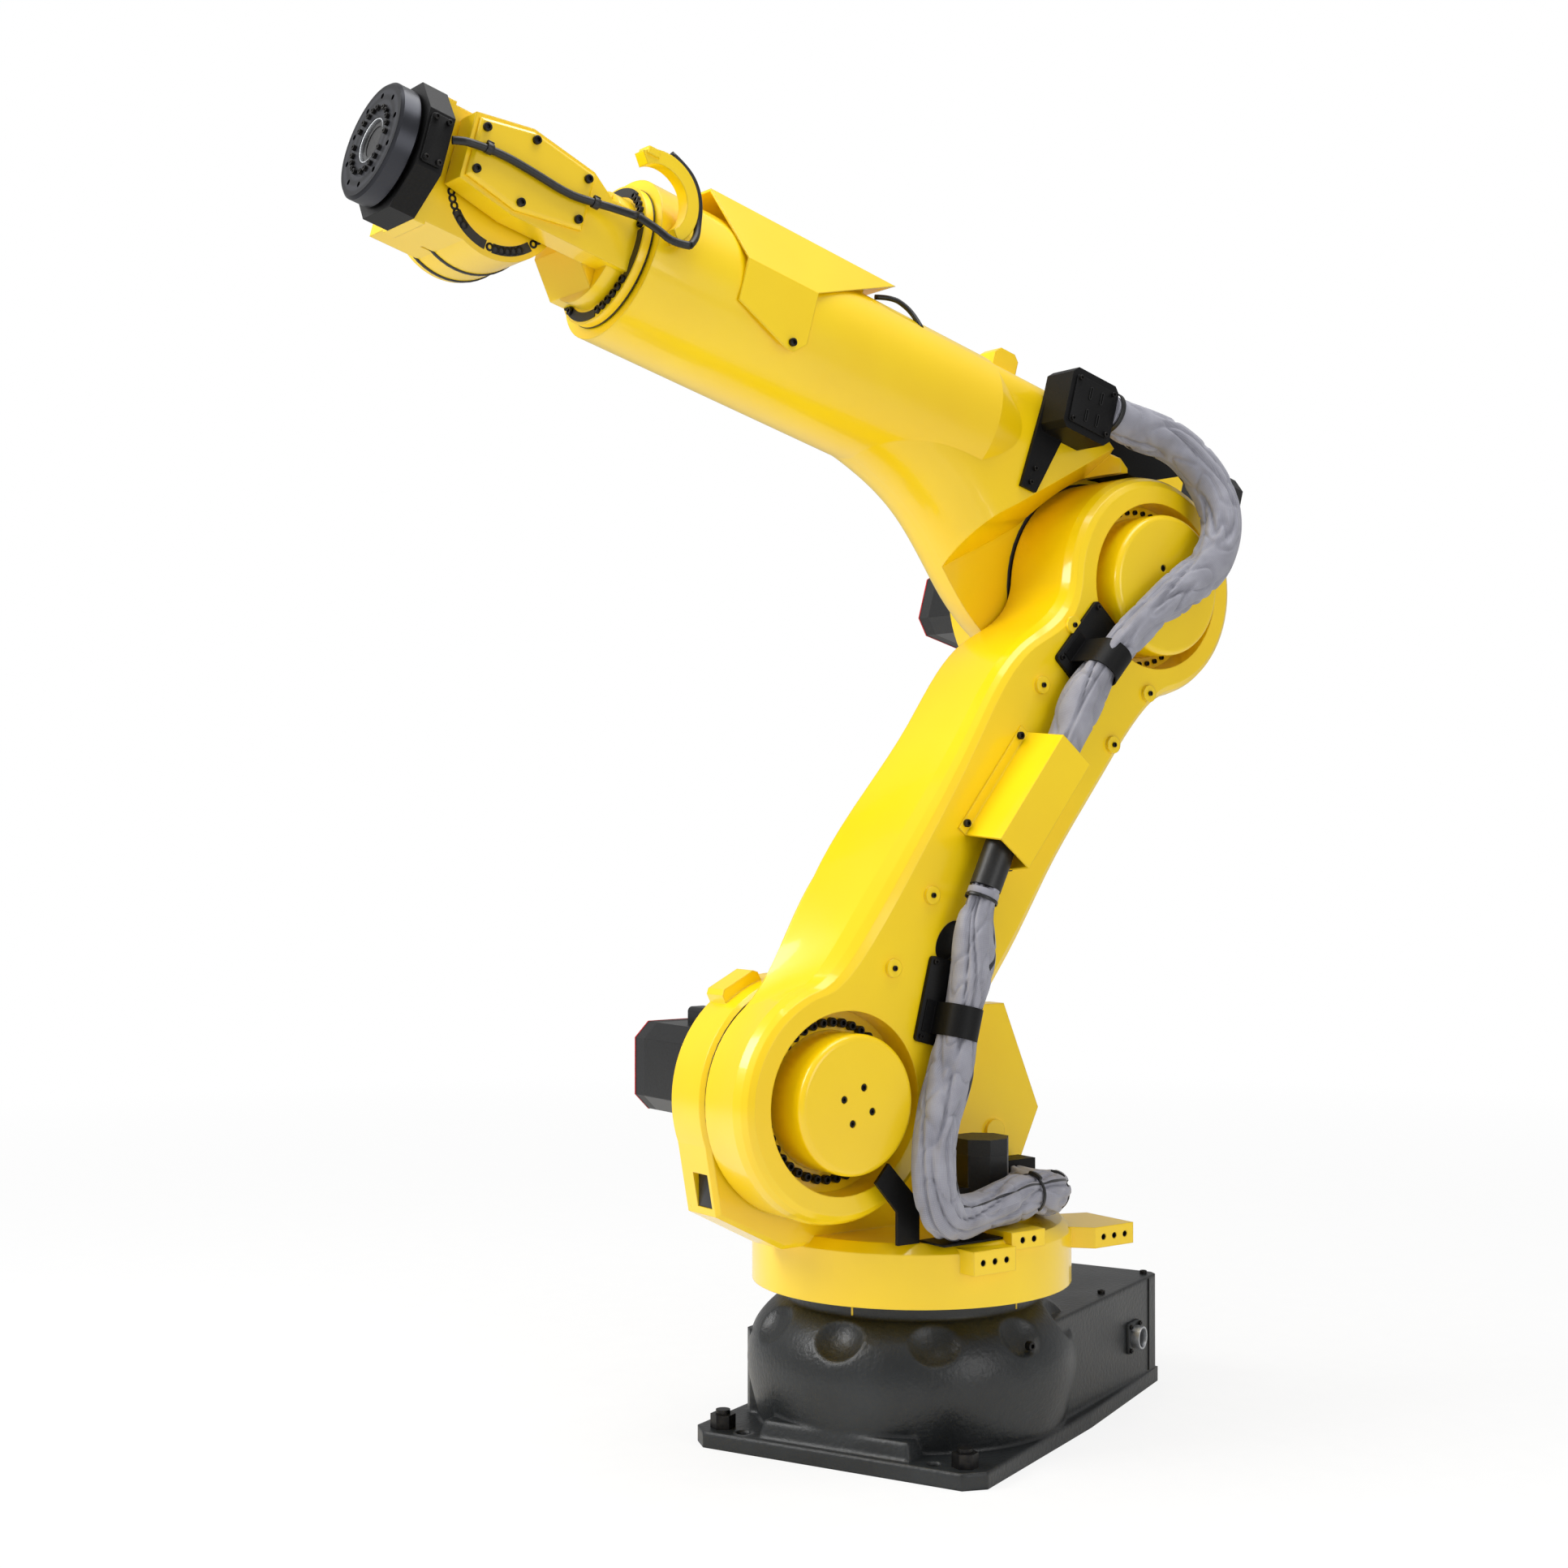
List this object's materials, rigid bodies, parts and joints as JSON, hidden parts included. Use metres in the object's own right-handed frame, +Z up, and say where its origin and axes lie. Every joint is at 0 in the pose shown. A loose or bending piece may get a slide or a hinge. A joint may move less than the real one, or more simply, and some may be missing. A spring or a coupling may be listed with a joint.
{
  "type": "industrial robot arm",
  "caption": "Floor-mounted jointed robot arm: cast base, turntable, lower and upper arm, roll-bend-turn wrist with a tool flange, and a sleeved hose along the arm.",
  "frame": {"origin": "on the floor, on the swing axis of the turntable", "axes": "+X to the front of the base, +Z up, +Y to the left of the base"},
  "size_m": [2.1724, 1.0683, 2.4023],
  "materials": {
    "yellow_paint": "gloss",
    "cast_iron": "satin",
    "black_steel": "satin",
    "motor_black": "satin",
    "motor_cap": "satin",
    "sleeve": "woven",
    "cable": "matte"
  },
  "bodies": {
    "base": {"base_casting": "cast_iron", "connector_panel": "cast_iron", "anchor_studs": "black_steel"},
    "turntable": {"turntable_casting": "yellow_paint", "shoulder_hub": "yellow_paint", "shoulder_motor": "motor_black", "shoulder_motor_cap": "motor_cap", "swing_motor": "motor_black", "swing_motor_cap": "motor_cap", "hose_tray": "black_steel", "hose_strip": "black_steel", "hose_inlet": "black_steel", "tail_hose": "sleeve"},
    "lower_arm": {"lower_arm_casting": "yellow_paint", "lower_saddle": "black_steel", "upper_saddle": "black_steel", "hose_cover": "yellow_paint", "hose_cuff": "black_steel", "shoulder_hose": "sleeve", "arm_hose_low": "sleeve", "arm_hose_high": "sleeve"},
    "upper_arm": {"upper_arm_casting": "yellow_paint", "elbow_hub": "yellow_paint", "elbow_motor": "motor_black", "elbow_motor_cap": "motor_cap", "roll_motor": "motor_black", "roll_motor_cap": "motor_cap", "bend_motor": "motor_black", "bend_motor_cap": "motor_cap", "tool_motor": "motor_black", "tool_motor_cap": "motor_cap", "top_cover": "yellow_paint", "cable_hook": "yellow_paint", "clamp_block": "black_steel", "hose_guide": "black_steel", "elbow_hose": "sleeve", "roll_cable": "cable"},
    "wrist_roll": {"wrist_casting": "yellow_paint", "wrist_cover": "yellow_paint", "wrist_cable": "cable"},
    "wrist_bend": {"bend_casting": "yellow_paint", "tool_case": "black_steel", "tool_cable": "cable"},
    "tool_flange": {"tool_flange": "black_steel"}
  },
  "joints": [
    {"name": "swing", "type": "hinge", "parent": "base", "child": "turntable", "pos_m": [0, 0, 0], "axis": [0, 0, 1], "range_deg": [-161.6, 208.4]},
    {"name": "shoulder", "type": "hinge", "parent": "turntable", "child": "lower_arm", "pos_m": [0.28634, -0.12391, 0.67], "axis": [0.3971, 0.9178, 0], "range_deg": [-21, 115], "deforming": ["shoulder_hose"]},
    {"name": "elbow", "type": "hinge", "parent": "lower_arm", "child": "upper_arm", "pos_m": [-0.4325, 0.18716, 1.64417], "axis": [-0.3971, -0.9178, 0], "range_deg": [-25, 130], "deforming": ["elbow_hose"]},
    {"name": "wrist_roll", "type": "hinge", "parent": "upper_arm", "child": "wrist_roll", "pos_m": [0.62484, -0.27039, 2.17349], "axis": [0.8839, -0.3825, 0.2689], "range_deg": [-210, 210], "deforming": ["roll_cable"]},
    {"name": "wrist_bend", "type": "hinge", "parent": "wrist_roll", "child": "wrist_bend", "pos_m": [0.85025, -0.36794, 2.24207], "axis": [-0.3971, -0.9178, 0], "range_deg": [-120, 120], "deforming": ["tool_cable"]},
    {"name": "tool_turn", "type": "hinge", "parent": "wrist_bend", "child": "tool_flange", "pos_m": [1.05533, -0.45668, 2.30446], "axis": [0.8839, -0.3825, 0.2689], "range_deg": [-210, 210]}
  ]
}
